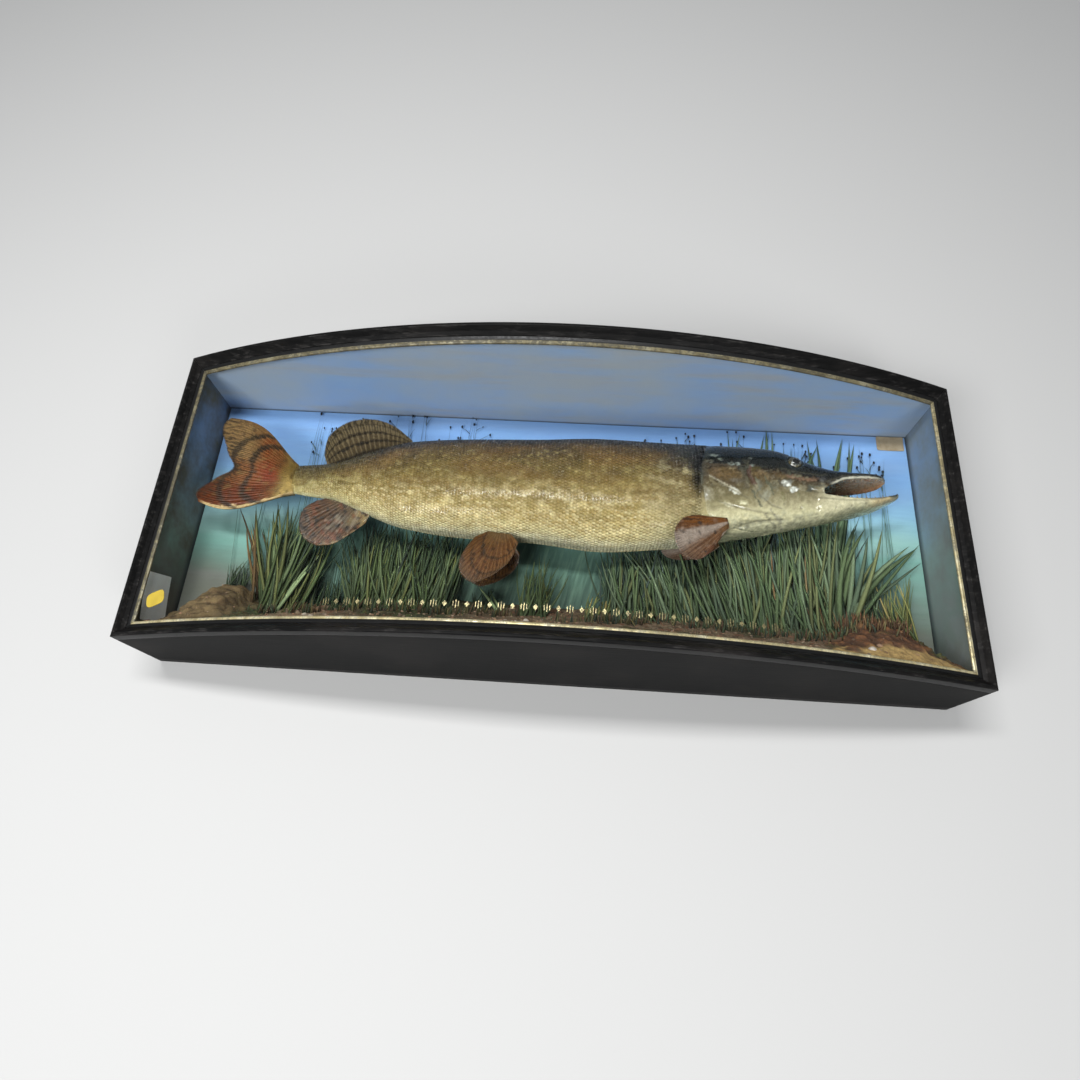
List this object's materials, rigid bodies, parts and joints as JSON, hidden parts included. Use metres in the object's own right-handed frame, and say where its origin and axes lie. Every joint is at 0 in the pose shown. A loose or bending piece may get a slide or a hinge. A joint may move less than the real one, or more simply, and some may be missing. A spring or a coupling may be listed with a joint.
{
  "type": "mounted pike in a display case",
  "caption": "Life-size taxidermy pike, mouth slightly open, over a modelled river bank with reeds, sealed in a black wooden case with a gilt slip and a bowed glass front.",
  "frame": {"origin": "middle of the back board's outer face, on which the case lies", "axes": "+X along the case towards the fish's head, +Y towards the top of the case, +Z from the back board out through the bowed glass"},
  "size_m": [1.04, 0.406, 0.23],
  "materials": {
    "ebonised_wood": "old ebonised varnish, semi-matt, rubbed grey-brown on the edges",
    "sky_paint": "distemper-like paint on board, blue-violet above to pale teal below, soft painted clouds",
    "gilt": "aged gold leaf, dull and flecked",
    "clear_glass": "clear old bent sheet glass",
    "groundwork": "modelled papier-mache ground dressed with sand, grit, moss and small pebbles",
    "aged_paper": "aged cream paper, matt",
    "grey_card": "grey card, matt",
    "yellow_paper": "bright yellow gummed paper",
    "iron": "blackened iron rod",
    "fish_skin": "varnished scaled skin, dark olive back, golden side, cream blotches towards the belly",
    "head_skin": "varnished smooth head skin, near-black above, brown and grey-green mottling on the cheeks",
    "jaw_skin": "varnished pale jaw skin, cream to orange, teeth off-white",
    "rust_fin": "dried varnished fin web over rays, rust-brown with dark bars",
    "olive_fin": "dried varnished fin web over rays, grey-olive with dark bars",
    "glass_eye": "polished glass eye, gold iris painted behind, black pupil"
  },
  "bodies": {
    "root": {"top_board": "ebonised_wood", "bottom_board": "ebonised_wood", "left_side": "ebonised_wood", "right_side": "ebonised_wood", "frame_top": "ebonised_wood", "frame_bottom": "ebonised_wood", "frame_left": "ebonised_wood", "frame_right": "ebonised_wood", "back_board": "sky_paint", "gilt_slip_top": "gilt", "gilt_slip_bottom": "gilt", "gilt_slip_left": "gilt", "gilt_slip_right": "gilt", "glass_pane": "clear_glass", "paper_label": "aged_paper", "wall_card": "grey_card", "glass_dot": "yellow_paper", "bank_left": "groundwork", "bank_middle": "groundwork", "bank_right": "groundwork", "trunk_front": "fish_skin", "trunk_rear": "fish_skin", "tail_stem": "fish_skin", "lower_jaw": "jaw_skin", "upper_jaw": "head_skin", "head": "head_skin", "eye_near": "glass_eye", "eye_far": "glass_eye", "dorsal_fin": "olive_fin", "anal_fin": "rust_fin", "tail_fin": "rust_fin", "pectoral_fin_near": "rust_fin", "pelvic_fin_near": "rust_fin", "pectoral_fin_far": "rust_fin", "pelvic_fin_far": "rust_fin", "stay_front": "iron", "stay_rear": "iron"}
  },
  "joints": []
}
